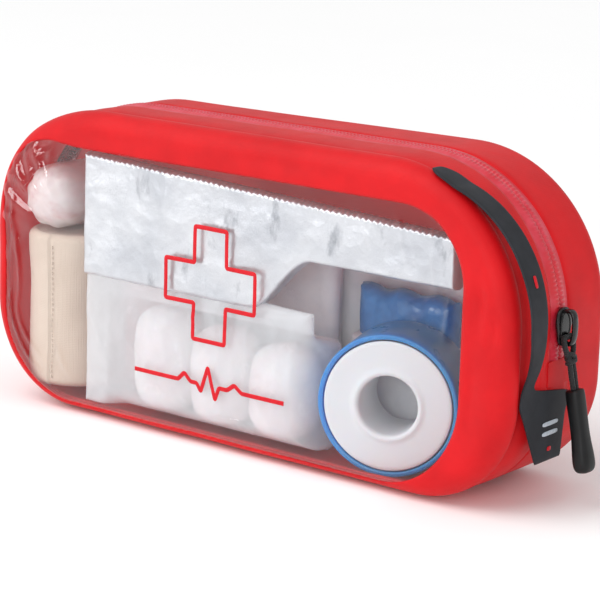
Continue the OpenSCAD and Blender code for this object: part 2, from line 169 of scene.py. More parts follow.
def wave(x, y, z, size, seed=0.0):
    """Smooth noise between about -1 and 1, with bumps of a size in millimetres."""
    return noise.noise(Vector((x / size + seed, y / size - seed, z / size + 2 * seed)))


def smooth(t):
    t = min(max(t, 0.0), 1.0)
    return t * t * (3 - 2 * t)


def eased(k, count):
    """Shares from 0 to 1 that lie closer together near both ends."""
    return 0.5 - 0.5 * cos(pi * k / (count - 1))


def roll_depth(d):
    """Distance of the front from the middle, at a distance inside the outline."""
    d = min(max(d, 0), ROLL_R)
    return HALF_D - ROLL_R + sqrt(max(ROLL_R ** 2 - (ROLL_R - d) ** 2, 0))


DENTS = [  # (x, z, half width, half height, depth) of soft dents in the front frame
    (110, 74, 2.4, 7, 1.6), (116, 66, 1.8, 6, 1.2), (108, 44, 2.5, 10, 0.8),
    (20, 112, 26, 2.5, 0.5), (-60, 111, 20, 3, 0.5), (88, 100, 9, 4, 0.6),
    (-105, 96, 6, 7, 0.7), (70, 8, 20, 3, 0.5),
]


def front_y(x, z):
    """The soft front face of the frame."""
    y = -roll_depth(inset(x, z)) - 0.35 * wave(x, 0, z, 26, 3)
    for cx, cz, w, h, depth in DENTS:
        y += depth * exp(-((x - cx) / w) ** 2 - ((z - cz) / h) ** 2)
    return y


SWELL_AT, SWELL = 140, 3.2  # the top left corner bulges at the front: degrees, millimetres


def corner_swell(x, y, z):
    dx, dz = x + TOP_CX, z - TOP_CZ
    angle = degrees(atan2(dz, dx)) % 360
    by = SWELL * exp(-((angle - SWELL_AT) / 26) ** 2) * smooth((-y - 6) / 18)
    by *= smooth(1.4 - inset(x, z) / 14)
    r = max(hypot(dx, dz), 1)
    return x + dx / r * by, y, z + dz / r * by


# ---- making pieces ----

def grid_faces(rows, cols, close_rows=False, close_cols=False):
    faces = []
    for i in range(rows if close_rows else rows - 1):
        for j in range(cols if close_cols else cols - 1):
            a, b = i * cols + j, i * cols + (j + 1) % cols
            c, d = ((i + 1) % rows) * cols + (j + 1) % cols, ((i + 1) % rows) * cols + j
            faces.append((a, b, c, d))
    return faces


def make(name, points, faces, material, out_from=None):
    """A mesh object from points in millimetres. Its faces look away from out_from,
    or are made to agree with each other where the mesh is closed."""
    mesh = bpy.data.meshes.new(name)
    mesh.from_pydata((np.asarray(points, float) * MM).tolist(), [], faces)
    obj = add(name, mesh)
    bm = bmesh.new()
    bm.from_mesh(mesh)
    if out_from is None:
        bmesh.ops.recalc_face_normals(bm, faces=bm.faces)
    else:
        middle = Vector(out_from) * MM
        facing = sum((f.calc_center_median() - middle).dot(f.normal) * f.calc_area()
                     for f in bm.faces)
        if facing < 0:
            bmesh.ops.reverse_faces(bm, faces=bm.faces)
    for f in bm.faces:
        f.smooth = True
    bm.to_mesh(mesh)
    bm.free()
    mesh.materials.append(material)
    return obj


FABRIC_T = 0.9


def fabric_shell(obj):
    """Gives fabric its thickness, with the lining's own material inside."""
    mod = obj.modifiers.new("thickness", "SOLIDIFY")
    mod.thickness = FABRIC_T * MM
    mod.offset = -1
    mod.use_even_offset = True
    mod.material_offset = 1
    obj.data.materials.append(LINING)
    return obj


def settle(obj, body, slot, *nodes):
    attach(obj, body)
    finish_piece(obj, slot, *nodes)
    return obj


def settle_fold(obj, slot, *nodes):
    """For rear fabric, which on the real bag bends as the rear half opens from the fixed front half; here
    it is only baked in place, and the CAD parts it replaces are hidden.
    """
    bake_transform(obj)
    finish_piece(obj, slot, *nodes)
    return obj


def finish_piece(obj, slot, *nodes):
    if nodes:
        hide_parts(*nodes)


def sweep(name, stations, section, material, closed=True, out_from=(0, 0, 60), change=None):
    """A section of (out, y) pairs carried round stations of (x, z, nx, nz)."""
    points = []
    for x, z, nx, nz in stations:
        for out, y in section:
            p = (x + nx * out, y, z + nz * out)
            points.append(change(*p) if change else p)
    faces = grid_faces(len(stations), len(section), close_rows=closed)
    return make(name, points, faces, material, out_from)


def tube_faces(rows, sides, closed=False):
    """Faces of a tube of rings, with flat ends where it isn't closed round."""
    faces = grid_faces(rows, sides, close_rows=closed, close_cols=True)
    if not closed:
        last = (rows - 1) * sides
        faces += [tuple(range(sides))[::-1], tuple(range(last, last + sides))]
    return faces


def frames_along(path):
    """Two directions across a path, that turn as little as they can."""
    path = [Vector(p) for p in path]
    ahead = [(path[min(i + 1, len(path) - 1)] - path[max(i - 1, 0)]).normalized()
             for i in range(len(path))]
    side = ahead[0].orthogonal().normalized()
    found = []
    for t in ahead:
        side = (side - t * side.dot(t)).normalized()
        found.append((side, t.cross(side)))
    return found


def tube_mesh(path, radius, sides=10, closed=False):
    """Points and faces of a tube. radius is a number or a function of the share of the way."""
    frames = frames_along(path)
    points = []
    for i, (p, (a, b)) in enumerate(zip(path, frames)):
        r = radius(i / (len(path) - 1)) if callable(radius) else radius
        for k in range(sides):
            angle = 2 * pi * k / sides
            points.append(tuple(Vector(p) + a * (r * cos(angle))
                                + b * (r * sin(angle))))
    return points, tube_faces(len(path), sides, closed)


def tube(name, path, radius, material, **options):
    return make(name, *tube_mesh(path, radius, **options), material)


def curve_through(points, steps=8, closed=False):
    """A smooth line through points."""
    pts = [Vector(p) for p in points]
    n = len(pts)
    found = []
    for i in range(n if closed else n - 1):
        if closed:
            p0, p1, p2, p3 = pts[i - 1], pts[i], pts[(i + 1) % n], pts[(i + 2) % n]
        else:
            p0, p1, p2, p3 = pts[max(i - 1, 0)], pts[i], pts[i + 1], pts[min(i + 2, n - 1)]
        for k in range(steps):
            t = k / steps
            found.append(0.5 * ((2 * p1) + (p2 - p0) * t + (2 * p0 - 5 * p1 + 4 * p2 - p3) * t * t
                                + (3 * p1 - p0 - 3 * p2 + p3) * t ** 3))
    if not closed:
        found.append(pts[-1])
    return found


def oval(half_a, half_b, power=2.0, sides=24):
    """Points round an oval, or round a rounded box where power is over 2."""
    found = []
    for k in range(sides):
        c, s = cos(2 * pi * k / sides), sin(2 * pi * k / sides)
        found.append((half_a * copysign(abs(c) ** (2 / power), c),
                      half_b * copysign(abs(s) ** (2 / power), s)))
    return found


def loft(name, loops, material):
    """A closed body through loops of the same number of points."""
    points = [p for loop in loops for p in loop]
    return make(name, points, tube_faces(len(loops), len(loops[0])), material)


# ---- materials ----

def srgb(r, g, b):
    def linear(c):
        c /= 255
        return c / 12.92 if c <= 0.04045 else ((c + 0.055) / 1.055) ** 2.4
    return (linear(r), linear(g), linear(b), 1.0)


class Paint:
    """A principled material that is built up with procedural detail."""

    def __init__(self, name, color, roughness, **values):
        self.material = bpy.data.materials.new(name)
        self.material.use_nodes = True
        self.tree = self.material.node_tree
        self.shader = self.tree.nodes["Principled BSDF"]
        self.feed(self.shader, {"Base Color": color, "Roughness": roughness})
        self.feed(self.shader, {key.replace("_", " "): value for key, value in values.items()})
        self.color = color
        self.place = self.node("ShaderNodeTexCoord").outputs["Object"]

    def feed(self, node, inputs):
        """Links the inputs that are given as sockets, and sets the others."""
        for key, value in inputs.items():
            if isinstance(value, bpy.types.NodeSocket):
                self.tree.links.new(value, node.inputs[key])
            else:
                node.inputs[key].default_value = value

    def node(self, kind, inputs=None, **properties):
        made = self.tree.nodes.new(kind)
        for key, value in properties.items():
            setattr(made, key, value)
        self.feed(made, inputs or {})
        return made

    def noise(self, size, detail=3.0, rough=0.55, stretch=(1, 1, 1)):
        """Noise with features of a size in millimetres, longer where stretch is over 1."""
        place = self.place
        if stretch != (1, 1, 1):
            place = self.node("ShaderNodeMapping", {
                "Scale": [1 / s for s in stretch], "Vector": place}).outputs["Vector"]
        return self.node("ShaderNodeTexNoise", {
            "Scale": 1 / (size * MM), "Detail": detail, "Roughness": rough,
            "Vector": place}).outputs["Fac"]

    def field(self, of):
        """Noise of a size in millimetres, or of a tuple of values for noise, or a socket as it is."""
        if isinstance(of, tuple):
            return self.noise(*of)
        return self.noise(of) if isinstance(of, (int, float)) else of

    def threads(self, pitch, direction):
        """Even threads, a pitch in millimetres apart."""
        return self.node("ShaderNodeTexWave", {
            "Scale": 1 / (pitch * MM) * pi / 10, "Distortion": 0.6, "Detail": 1,
            "Detail Scale": 2, "Vector": self.place}, bands_direction=direction).outputs["Fac"]

    def both(self, a, b):
        """The sum of two values."""
        return self.node("ShaderNodeMath", {0: a, 1: b}, operation="ADD").outputs[0]

    def spread(self, fac, low, high):
        return self.node("ShaderNodeMapRange", {
            "To Min": low, "To Max": high, "Value": fac}).outputs[0]

    def tint(self, fac, other, start=0.35, end=0.65):
        """Goes over to another colour where fac is high."""
        share = self.node("ShaderNodeMapRange", {
            "From Min": start, "From Max": end, "Value": self.field(fac)}).outputs[0]
        before = self.shader.inputs["Base Color"]
        under = before.links[0].from_socket if before.is_linked else self.color
        mix = self.node("ShaderNodeMix", {"Factor": share, 6: under, 7: other}, data_type="RGBA")
        self.feed(self.shader, {"Base Color": mix.outputs[2]})
        return self

    def rough(self, fac, low, high):
        self.feed(self.shader, {"Roughness": self.spread(self.field(fac), low, high)})
        return self

    def relief(self, fac, height):
        """Bumps of a height in millimetres."""
        bump = self.node("ShaderNodeBump", {
            "Distance": height * MM, "Strength": 1, "Height": self.field(fac)})
        before = self.shader.inputs["Normal"]
        if before.is_linked:
            self.feed(bump, {"Normal": before.links[0].from_socket})
        self.feed(self.shader, {"Normal": bump.outputs[0]})
        return self

    def mixed(self, one, two, share):
        """Shows a mix of two shaders; share is the second one's, a number or a socket."""
        mix = self.node("ShaderNodeMixShader", {
            "Fac": share, 1: one.outputs[0], 2: two.outputs[0]})
        self.feed(self.tree.nodes["Material Output"], {"Surface": mix.outputs[0]})
        return self

    def glow_through(self, color, share):
        """Lets part of the light behind the surface through, as thin fabric does."""
        return self.mixed(self.shader, self.node("ShaderNodeBsdfTranslucent", {"Color": color}), share)

    def see_through(self, clear, low, high):
        """Mixes in a clear shader: the surface's own share goes from low, seen square on,
        to high at a grazing angle."""
        facing = self.node("ShaderNodeLayerWeight", {"Blend": 0.35}).outputs["Facing"]
        through = self.node("ShaderNodeBsdfTransparent", {"Color": clear})
        return self.mixed(through, self.shader, self.spread(facing, low, high))


def woven(name, color, other, roughness, pitch, height, **values):
    paint = Paint(name, color, roughness, **values)
    weave = paint.both(paint.threads(pitch, "X"), paint.threads(pitch, "Z"))
    weave = paint.both(weave, paint.threads(pitch, "Y"))
    paint.relief(weave, height)
    paint.relief(pitch * 9, height * 2.5)
    paint.tint((pitch * 40, 4), other)
    paint.rough(pitch * 14, roughness - 0.06, roughness + 0.08)
    return paint


RED = srgb(224, 14, 24)
RED_DEEP = srgb(208, 9, 20)

FABRIC = (woven("coated red fabric", RED, RED_DEEP, 0.5, 0.45, 0.012,
          Specular_IOR_Level=0.28, Sheen_Weight=0.06, Sheen_Roughness=0.4)
    .glow_through((0.95, 0.02, 0.03, 1), 0.2).material)
LINING = (Paint("red lining", srgb(222, 26, 36), 0.5)
    .tint((14, 4), srgb(206, 16, 28)).relief(0.7, 0.02).glow_through((1.0, 0.08, 0.1, 1), 0.7).material)
FILM = (Paint("clear window film", (0.93, 0.95, 0.97, 1), 0.06, Metallic=1.0)
    .relief((7, 3, 0.5, (1, 1, 2)), 0.12).relief((30, 2), 0.9).rough(14, 0.04, 0.12)
    .see_through((0.985, 0.988, 0.99, 1), 0.01, 0.34).material)
PRINT = (Paint("red screen print", srgb(206, 16, 32), 0.45, Specular_IOR_Level=0.25)
    .tint((2.5, 5), srgb(190, 10, 26), 0.45, 0.7).relief(0.5, 0.02).material)
ZIP_FILM = (Paint("zip film", srgb(198, 26, 46), 0.34, Coat_Weight=0.15, Coat_Roughness=0.2)
    .tint((5, 4), srgb(212, 58, 78)).tint((22, 3), srgb(206, 26, 40), 0.45, 0.7).relief(0.8, 0.04)
    .material)
COIL = (Paint("zip coil", srgb(178, 22, 38), 0.38)
    .tint(3, srgb(150, 14, 28)).relief(0.6, 0.03).material)
STRAP = (Paint("charcoal strap", srgb(38, 40, 46), 0.6, Specular_IOR_Level=0.28)
    .tint((9, 5), srgb(30, 32, 37)).relief((0.35, 2), 0.02).rough(5, 0.5, 0.66).material)
MARK = (Paint("pale grey mark", srgb(196, 204, 214), 0.45)
    .tint((1.2, 4), srgb(180, 188, 198)).relief(0.4, 0.02).material)
METAL = (Paint("glossy black metal", srgb(4, 4, 5), 0.24, Specular_IOR_Level=0.4,
          Coat_Weight=0.15, Coat_Roughness=0.08)
    .tint((2.2, 4), srgb(14, 14, 16)).rough(1.4, 0.16, 0.34).relief(1.1, 0.02).material)

paint = Paint("black braided cord", srgb(12, 12, 14), 0.7, Sheen_Weight=0.1)
paint.relief(paint.both(paint.threads(0.8, "Z"), paint.threads(0.8, "Y")), 0.12)
paint.tint(0.7, srgb(26, 26, 29))
CORD = paint.material

RUBBER = (Paint("black moulded rubber", srgb(8, 8, 9), 0.36, Specular_IOR_Level=0.32)
    .tint((6, 4), srgb(16, 16, 18)).relief(0.3, 0.015).rough(3, 0.34, 0.5).material)
BLUE = (Paint("blue moulded plastic", srgb(0, 112, 188), 0.28, Coat_Weight=0.3,
          Subsurface_Weight=0.6, Subsurface_Scale=0.012, Subsurface_Radius=(0.1, 0.5, 1.0))
    .tint((20, 3), srgb(4, 124, 200)).relief(0.9, 0.012).rough(8, 0.22, 0.36).material)
WHITE = (Paint("white moulded plastic", srgb(216, 217, 221), 0.42,
          Subsurface_Weight=0.15, Subsurface_Scale=0.002)
    .tint((18, 3), srgb(214, 216, 221)).relief(0.8, 0.012).rough(7, 0.32, 0.46).material)

TAPE = woven("tape cloth", srgb(226, 214, 196), srgb(212, 198, 178), 0.75, 0.5, 0.05).material

BANDAGE = (woven("elastic bandage cloth", srgb(216, 198, 182), srgb(204, 184, 168), 0.85, 0.7, 0.03,
          Sheen_Weight=0.2)
    .relief((3, 3, 0.6, (1, 1, 6)), 0.06).material)
# the pink second colour in the gauze is painted red light thrown on it by the bag's red lining
GAUZE = (woven("white gauze", srgb(244, 240, 241), srgb(236, 214, 216), 0.9, 0.6, 0.06,
          Sheen_Weight=0.3, Subsurface_Weight=0.2, Subsurface_Scale=0.002)
    .relief((4, 4), 0.35).material)
# the dark grey streaks, drawn out upright, are painted shade and dark reflections in the foil's folds
FOIL = (Paint("silver foil", srgb(218, 219, 223), 0.3, Metallic=0.8)
    .tint((26, 4), srgb(196, 198, 204)).tint((13, 5, 0.6, (0.7, 1, 1.6)), srgb(112, 116, 126), 0.6, 0.8)
    .relief((12, 5, 0.58), 0.7).relief((2.2, 4), 0.07).rough(12, 0.24, 0.44).material)
POUCH = (Paint("pouch film", (0.88, 0.9, 0.93, 1), 0.24, Specular_IOR_Level=0.6)
    .relief((8, 4, 0.55), 0.5).rough(10, 0.16, 0.34).see_through((0.985, 0.985, 0.99, 1), 0.36, 0.85)
    .material)
# the wrapper's pinkish colour and its redder streaks are painted red light from the bag's red lining
WRAPPER = (Paint("gauze wrapper film", (0.9, 0.8, 0.79, 1), 0.26, Specular_IOR_Level=0.6)
    .tint((9, 4, 0.55, (1, 3, 1)), (0.72, 0.42, 0.4, 1), 0.5, 0.75).relief((6, 4, 0.55, (1, 3, 1)), 0.5)
    .see_through((0.985, 0.985, 0.99, 1), 0.4, 0.9).material)
GLOVE = (Paint("blue glove rubber", srgb(0, 110, 192), 0.3, Coat_Weight=0.4, Coat_Roughness=0.15)
    .tint((11, 4), srgb(54, 146, 226)).relief((7, 4), 0.9).relief(0.5, 0.02).material)
PAPER = (Paint("white packet paper", srgb(238, 238, 240), 0.6)
    .tint((16, 4), srgb(226, 228, 233)).relief((11, 4), 0.8).relief(0.5, 0.02).material)

# ---- bag: front frame and sides ----

CURL = [(-1.2, -23.8), (-0.5, -24.1)]  # the frame's edge turned into the groove at the seam
FRAME_STEPS = 24
LIP = 1.6  # width of the pressed edge round the window


def front_frame():
    points = []
    outer, inner = BAG.stations(), WINDOW.stations()
    for (x, z, nx, nz), (wx, wz, _, _) in zip(outer, inner):
        for out, y in CURL:
            points.append(corner_swell(x + nx * out, y, z + nz * out))
        width = hypot(wx - x, wz - z)
        for k in range(FRAME_STEPS + 1):
            t = (k / FRAME_STEPS) ** 1.8
            px, pz = x + (wx - x) * t, z + (wz - z) * t
            press = 0.25 * smooth(1 - (1 - t) * width / LIP)
            points.append(corner_swell(px, front_y(px, pz) + press, pz))
    faces = grid_faces(len(outer), len(CURL) + FRAME_STEPS + 1, close_rows=True)
    obj = make("front_frame_fabric", points, faces, FABRIC, (0, 0, 60))
    settle(fabric_shell(obj), "bag", "red_fabric", "front_frame")


SIDE = [(-1.4, 24.6), (-1.5, 23.6), (-1.0, 22.2), (-0.5, 20.2), (-0.2, 17.5), (0, 14), (0, 11),
        (0, 8.5), (-0.05, 6.8), (-0.3, 5.9), (-0.9, 5.4), (-1.4, 5.2)]  # (out, distance from the middle)


def side_change(x, y, z):
    """The side fabric's own soft shape."""
    x, y, z = corner_swell(x, y, z)
    swell = 0.35 * wave(x, y, z, 22, 7) * smooth((24 - abs(y)) / 6)
    # a slack valley behind the frame's roll, under the strap
    reach = smooth((x - 92) / 18) * smooth((106 - z) / 26) * smooth((z - 10) / 22)
    swell -= 4.2 * reach * exp(-((-y - 20) / 3.5) ** 2)
    d = Vector((x, 0, z - 60)).normalized()
    return x + d.x * swell, y, z + d.z * swell


def sides():
    front = [(out, -y) for out, y in SIDE]
    obj = sweep("side_fabric_front", BAG.stations(), front, FABRIC, change=side_change)
    settle(fabric_shell(obj), "bag", "red_fabric", "front_gusset")
    # across the middle, under the bottom from one zip end to the other
    stations = [s for s in BAG.stations(side=12) if s[1] <= ZIP_END]
    start = next(i for i in range(len(stations)) if stations[i][0] < 0 and
                 stations[i - 1][0] > 0)
    stations = stations[start:] + stations[:start]
    stations = [(-HALF_L, ZIP_END, -1, 0)] + stations + [(HALF_L, ZIP_END, 1, 0)]
    middle = [(-0.05, y) for y in (-6.8, -4, -2, 0, 2, 4, 6.8)]
    obj = sweep("base_fabric", stations, middle, FABRIC, closed=False, change=side_change)
    settle(fabric_shell(obj), "bag", "red_fabric", "base_gusset")


def rear():
    """The rear half's fabric: the side behind the zip, the rolled edge and the border."""
    stations = BAG.stations()
    points = []
    side = [(out, y) for out, y in reversed(SIDE) if y < 15]
    for x, z, nx, nz in stations:
        r = REAR_R_LEFT + (REAR_R_RIGHT - REAR_R_LEFT) * smooth((x + 60) / 150)
        section = side + [(0, 14 + (HALF_D - r - 14) * k / 3) for k in (1, 2)]
        for k in range(19):
            a = radians(5 * k)
            section.append((-r * (1 - cos(a)), HALF_D - r + r * sin(a)))
        reach = BACK_INSET + 1 - r
        section += [(-r - reach * k / 4, HALF_D) for k in (1, 2, 3, 4)]
        points += [side_change(x + nx * out, y, z + nz * out) for out, y in section]
    faces = grid_faces(len(stations), len(section), close_rows=True)
    obj = make("rear_fabric", points, faces, FABRIC, (0, 0, 60))
    settle_fold(fabric_shell(obj), "red_fabric", "rear_gusset", "fold_panel")
    points = []
    rows, cols = 60, 110
    for i in range(rows):
        z = BACK.bottom + (BACK.top - BACK.bottom) * eased(i, rows)
        left, right = BACK.span(z)
        for j in range(cols):
            x = left + (right - left) * j / (cols - 1)
            edge = smooth(min(x - left, right - x, z - BACK.bottom, BACK.top - z) / 12)
            bulge = edge * (0.5 + 0.7 * wave(x, 9, z, 38, 2) + 0.25 * wave(x, 3, z, 13, 5))
            points.append((x, HALF_D - 0.35 + bulge, z))
    obj = make("rear_panel_fabric", points, grid_faces(rows, cols), FABRIC, (0, 0, 60))
    settle_fold(fabric_shell(obj), "red_fabric", "rear_panel_lower", "rear_panel_upper")


# ---- window ----

CREASES = [  # (x, z, direction in degrees, half length, height) of soft creases in the film
    (62, 92, -62, 12, 0.7), (78, 90, -74, 14, 0.8), (91, 84, -84, 13, 0.9), (97, 66, 80, 11, 0.8),
    (84, 70, 24, 10, 0.6), (28, 66, -16, 22, 0.5), (-30, 50, -8, 26, 0.5), (46, 46, 12, 15, 0.6),
    (-72, 88, 78, 10, 0.6), (-84, 20, -58, 12, 0.8), (0, 12, -4, 34, 0.6), (70, 8, 3, 18, 0.5),
]
WRINKLE_CENTER = (-88, 74)
WRINKLES = [(96, 1.4, 0.8), (107, 2.0, 1.2), (121, 1.8, 1.1), (133, 2.4, 1.3), (149, 1.8, 1.1),
            (166, 2.2, 1.2), (186, 2.0, 1.0), (207, 2.2, 0.8)]  # (degrees, width, height)
FILM_BEHIND = 0.55


def film_y(x, z):
    """The clear film, just behind the frame's face, with its creases."""
    y = front_y(x, z) + FILM_BEHIND
    edge = smooth(inset(x, z) / 12)
    y -= edge * (0.5 * wave(x, 4, z, 48, 1) + 0.22 * wave(x, 1, z, 17, 4))
    if x < -90:  # creases that run down beside the left border
        for at, height, seed in ((10.5, 0.9, 2), (14.5, 0.7, 6)):
            off = inset(x, z) - at - 2.4 * wave(0, seed, z, 19, seed)
            fade = smooth(0.5 + 1.6 * wave(0, z, seed, 16, seed + 3)) * smooth((-90 - x) / 8)
            y -= height * fade * exp(-(off / 1.1) ** 2)
    for cx, cz, direction, half, height in CREASES:
        dx, dz = x - cx, z - cz
        if abs(dx) + abs(dz) < 2 * half:
            c, s = cos(radians(direction)), sin(radians(direction))
            along, off = dx * c + dz * s, dz * c - dx * s
            off += 1.5 * wave(along, cx, cz, 11, 1)
            y -= height * smooth(1 - abs(along) / half) * exp(-(off / 1.3) ** 2)
    dx, dz = x - WRINKLE_CENTER[0], z - WRINKLE_CENTER[1]
    r = hypot(dx, dz)
    reach = smooth((r - 8) / 8) * smooth((36 - r) / 10)
    if reach > 0 and r > 1:
        angle = degrees(atan2(dz, dx)) % 360
        for at, width, height in WRINKLES:
            off = (angle - at + 6 * sin(r / 6 + at)) * pi / 180 * r
            y -= 0.8 * height * reach * exp(-(off / width) ** 2)
    return y


def window():
    area = WINDOW.grown(0.9)
    rows, cols = 110, 220
    points = []
    for i in range(rows):
        z = area.bottom + (area.top - area.bottom) * eased(i, rows)
        left, right = area.span(z)
        for j in range(cols):
            x = left + (right - left) * eased(j, cols)
            points.append(corner_swell(x, film_y(x, z), z))
    obj = make("window_film", points, grid_faces(rows, cols), FILM, (0, 0, 60))
    settle(obj, "bag", "window_film", "clear_window")


PRINT_W = 1.7
PLUS_CENTER = (-9.5, 62)
PLUS_HALF, PLUS_ARM = 21.5, 7.75
PULSE_START = (-46, 23.5)
PULSE = [(0, 0), (22, 0), (25, 3), (28, 0), (31, 0), (33, -3), (36.5, 7), (40, -5), (42, 0),
         (46, 0), (49.5, 2.5), (53, 0), (73, 0)]


def rounded_line(points, radius, closed):
    """The same line with its corners rounded, in short steps."""
    pts = [np.array(p, float) for p in points]
    n = len(pts)
    found = []
    for i in range(n):
        if not closed and i in (0, n - 1):
            found.append(pts[i])
            continue
        p, a, b = pts[i], pts[i - 1], pts[(i + 1) % n]
        ua, ub = (a - p) / np.linalg.norm(a - p), (b - p) / np.linalg.norm(b - p)
        for k in range(5):
            t = k / 4
            start, end = p + ua * radius, p + ub * radius
            found.append((1 - t) ** 2 * start + 2 * t * (1 - t) * p + t * t * end)
    dense = []
    count = len(found)
    for i in range(count if closed else count - 1):
        a, b = found[i], found[(i + 1) % count]
        steps = max(1, int(np.linalg.norm(b - a) / 1.2))
        dense += [a + (b - a) * k / steps for k in range(steps)]
    if not closed:
        dense.append(found[-1])
    return dense


def print_line(name, points, closed, *nodes):
    line = rounded_line(points, 0.7, closed)
    n = len(line)
    verts = []
    for i, p in enumerate(line):
        a = line[i - 1] if closed or i else p
        b = line[(i + 1) % n] if closed or i < n - 1 else p
        t = (b - a) / np.linalg.norm(b - a)
        side = np.array([-t[1], t[0]]) * PRINT_W / 2
        for s, lift in ((-1, 0.04), (-0.8, 0.16), (0, 0.18), (0.8, 0.16), (1, 0.04)):
            x, z = p + side * s
            verts.append((x, film_y(x, z) - lift, z))
    obj = make(name, verts, grid_faces(n, 5, close_rows=closed), PRINT, (0, 0, 60))
    settle(obj, "bag", "red_print", *nodes)


def prints():
    a, h = PLUS_ARM, PLUS_HALF
    quarter = [(a, h), (a, a), (h, a)]
    corners = []
    for sx, sz, order in ((1, 1, 1), (1, -1, -1), (-1, -1, 1), (-1, 1, -1)):
        corners += [(sx * x, sz * z) for x, z in quarter[::order]]
    print_line("plus_print", [(PLUS_CENTER[0] + x, PLUS_CENTER[1] + z) for x, z in corners],
               True, "printed_plus")
    print_line("pulse_print", [(PULSE_START[0] + x, PULSE_START[1] + z) for x, z in PULSE],
               False, "printed_pulse")


# ---- zip ----

PITCH = 1.6  # of the zip's coils


def zip_stations(step):
    """(x, z, nx, nz, distance) from the right end of the zip over the top to the left end."""
    side, arc, top = TOP_CZ - ZIP_END, CORNER_TOP * pi / 2, 2 * TOP_CX

    def corner(cx, nx, nz):
        return cx + CORNER_TOP * nx, TOP_CZ + CORNER_TOP * nz, nx, nz
    parts = [(side, lambda s: (HALF_L, ZIP_END + s, 1, 0)),
             (arc, lambda s: corner(TOP_CX, cos(s / CORNER_TOP), sin(s / CORNER_TOP))),
             (top, lambda s: (TOP_CX - s, BAG_H, 0, 1)),
             (arc, lambda s: corner(-TOP_CX, -sin(s / CORNER_TOP), cos(s / CORNER_TOP))),
             (inf, lambda s: (-HALF_L, TOP_CZ - s, -1, 0))]
    found = []
    for k in range(int((2 * side + 2 * arc + top) / step) + 1):
        s = k * step
        for length, place in parts:
            if s < length:
                break
            s -= length
        found.append((*place(s), k * step))
    return found


COVER = [(-0.55, 5.5), (-0.5, 4.9), (-0.4, 4.3), (-0.15, 3.6), (0.05, 3.0), (0.2, 2.4), (0.3, 1.8),
         (0.3, 1.2), (0.18, 0.7), (-0.1, 0.3), (-0.7, 0.03)]


def zip_half(side, phase):
    """One half of the coated zip: side is -1 at the front and 1 at the rear."""
    points, step = [], PITCH / 5
    stations = zip_stations(step)
    for x, z, nx, nz, d in stations:
        rib = cos(2 * pi * (d / PITCH + phase))
        for out, y in COVER:
            share = smooth((3.1 - y) / 1.2) * smooth(y / 0.6)
            out = out + 0.2 * rib * share
            points.append((x + nx * out, side * y, z + nz * out))
    return make(f"zip_cover_{'front' if side < 0 else 'rear'}", points,
                grid_faces(len(stations), len(COVER)), ZIP_FILM, (0, 0, 60))


def zip_coil(side, phase):
    per_turn = 8
    path = []
    for i, (x, z, nx, nz, d) in enumerate(zip_stations(PITCH / per_turn)):
        angle = 2 * pi * (i / per_turn + phase)
        out = -2.0 + 0.95 * cos(angle)
        y = side * (1.75 + 1.05 * sin(angle))
        path.append((x + nx * out, y, z + nz * out))
    return tube(f"zip_coil_{'front' if side < 0 else 'rear'}", path, 0.3, COIL, sides=5)


def make_zip():
    settle(zip_half(-1, 0), "bag", "zip_film", "zip_tape_front")
    settle(zip_coil(-1, 0), "bag", "zip_film", "zip_teeth_front")
    settle_fold(zip_half(1, 0.5), "zip_film", "zip_tape_rear")
    settle_fold(zip_coil(1, 0.5), "zip_film", "zip_teeth_rear")


# ---- slider and puller ----

def on_zip(u, v, w):
    """A point drawn flat, bent round the top right corner: u up along the zip from the
    slider's middle, v to the rear and w out from the fabric."""
    angle = u / CORNER_TOP
    r = CORNER_TOP + w
    return TOP_CX + r * cos(angle), v, TOP_CZ + r * sin(angle)


SLIDER_HALF_L, SLIDER_HALF_W = 6.8, 5.0
BAIL_FOOT = 5.3  # distance of the bail's two feet from the slider's middle


def plate_half_width(t):
    """Half the slider's width, from its tail at -1 to its head at 1."""
    ends = sqrt(max(1 - abs(t) ** 3.5, 0.0))
    return SLIDER_HALF_W * ends * (0.72 + 0.28 * smooth((t + 0.55) / 0.8))


def plate(name, low, high):
    loops = []
    for k in range(25):
        t = -cos(pi * k / 24)
        half = max(plate_half_width(t * 0.999), 0.3)
        dome = 0.125 * (high - low) * (1 - t * t)
        loops.append([on_zip(t * SLIDER_HALF_L, v, (low + high) / 2 + w + (dome if w > 0 else 0))
                      for v, w in oval(half, (high - low) / 2, 3.2, 28)])
    return loft(name, loops, METAL)


def slider():
    settle(plate("slider_top_plate", 0.55, 2.1), "slider", "black_metal", "slider_body")
    settle(plate("slider_under_plate", -5.45, -3.95), "slider", "black_metal")
    post = loft("slider_post", [[on_zip(u - BAIL_FOOT, v, w) for u, v in oval(1.1, 0.45, 3, 12)]
                                for w in (-4.4, -2, 0, 1.0)], METAL)
    settle(post, "slider", "black_metal")
    half = [(2, 5.95), (3.9, 5.7), (5.2, 4.9), (5.5, 3.4), (BAIL_FOOT, 1.4)]
    arch = curve_through([(-u, 0, w) for u, w in half[::-1]] + [(0, 0, 6.0)]
                         + [(u, 0, w) for u, w in half], 5)
    loops = []
    for i, p in enumerate(arch):
        a, b = arch[max(i - 1, 0)], arch[min(i + 1, len(arch) - 1)]
        t = (b - a).normalized()
        normal = Vector((-t.z, 0, t.x))
        loops.append([on_zip(p.x + normal.x * n, v, p.z + normal.z * n)
                      for v, n in oval(1.5, 0.72, 3, 16)])
    settle(loft("slider_bail", loops, METAL), "slider", "black_metal", "slider_bridge")
    # raised rim round the bail's feet
    ring = [on_zip(5.2 * cos(a), 2.9 * sin(a), 2.15)
            for a in np.linspace(0, 2 * pi, 40, endpoint=False)]
    settle(tube("slider_rim", ring, 0.42, METAL, sides=8, closed=True), "slider", "black_metal")


